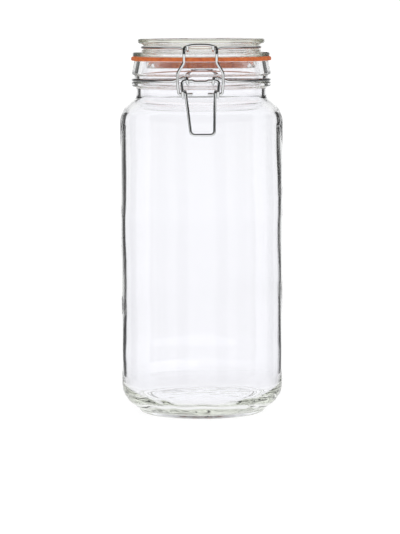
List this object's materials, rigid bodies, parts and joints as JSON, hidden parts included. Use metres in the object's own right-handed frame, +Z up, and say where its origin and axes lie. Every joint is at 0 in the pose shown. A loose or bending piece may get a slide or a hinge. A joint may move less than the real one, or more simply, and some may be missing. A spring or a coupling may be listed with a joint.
{
  "type": "terrine jar",
  "caption": "Tall round clear glass storage jar, two litres, with a hinged glass lid, an orange rubber seal and a wire toggle clip at the front. Empty.",
  "frame": {"origin": "on the jar's axis, at the level of the surface that its foot stands on", "axes": "+Z up along the jar's axis, the clip at the front on -Y, the lid's hinge at the back on +Y"},
  "size_m": [0.1158, 0.1208, 0.2653],
  "materials": {
    "soda_lime_glass": "clear, polished",
    "zinc_plated_steel": "bright drawn wire",
    "orange_rubber": "matte"
  },
  "bodies": {
    "jar": {"jar_glass": "soda_lime_glass", "neck_wire": "zinc_plated_steel"},
    "lid": {"lid_glass": "soda_lime_glass", "lid_wire": "zinc_plated_steel", "seal": "orange_rubber"},
    "lever": {"lever_wire": "zinc_plated_steel"},
    "bail": {"bail_wire": "zinc_plated_steel"}
  },
  "joints": [
    {"name": "lid_hinge", "type": "hinge", "parent": "jar", "child": "lid", "pos_m": [0, 0.055, 0.243], "axis": [-1, 0, 0], "range_deg": [0, 115]},
    {"name": "lever_pivot", "type": "hinge", "parent": "jar", "child": "lever", "pos_m": [0, -0.0524, 0.2368], "axis": [-1, 0, 0], "range_deg": [0, 120]},
    {"name": "bail_pivot", "type": "hinge", "parent": "lever", "child": "bail", "pos_m": [0, -0.0519, 0.2275], "axis": [-1, 0, 0], "range_deg": [-210, 0]}
  ],
  "couplings": [
    {"joint": "bail_pivot", "follows": "lever_pivot", "ratio": -1.75}
  ]
}
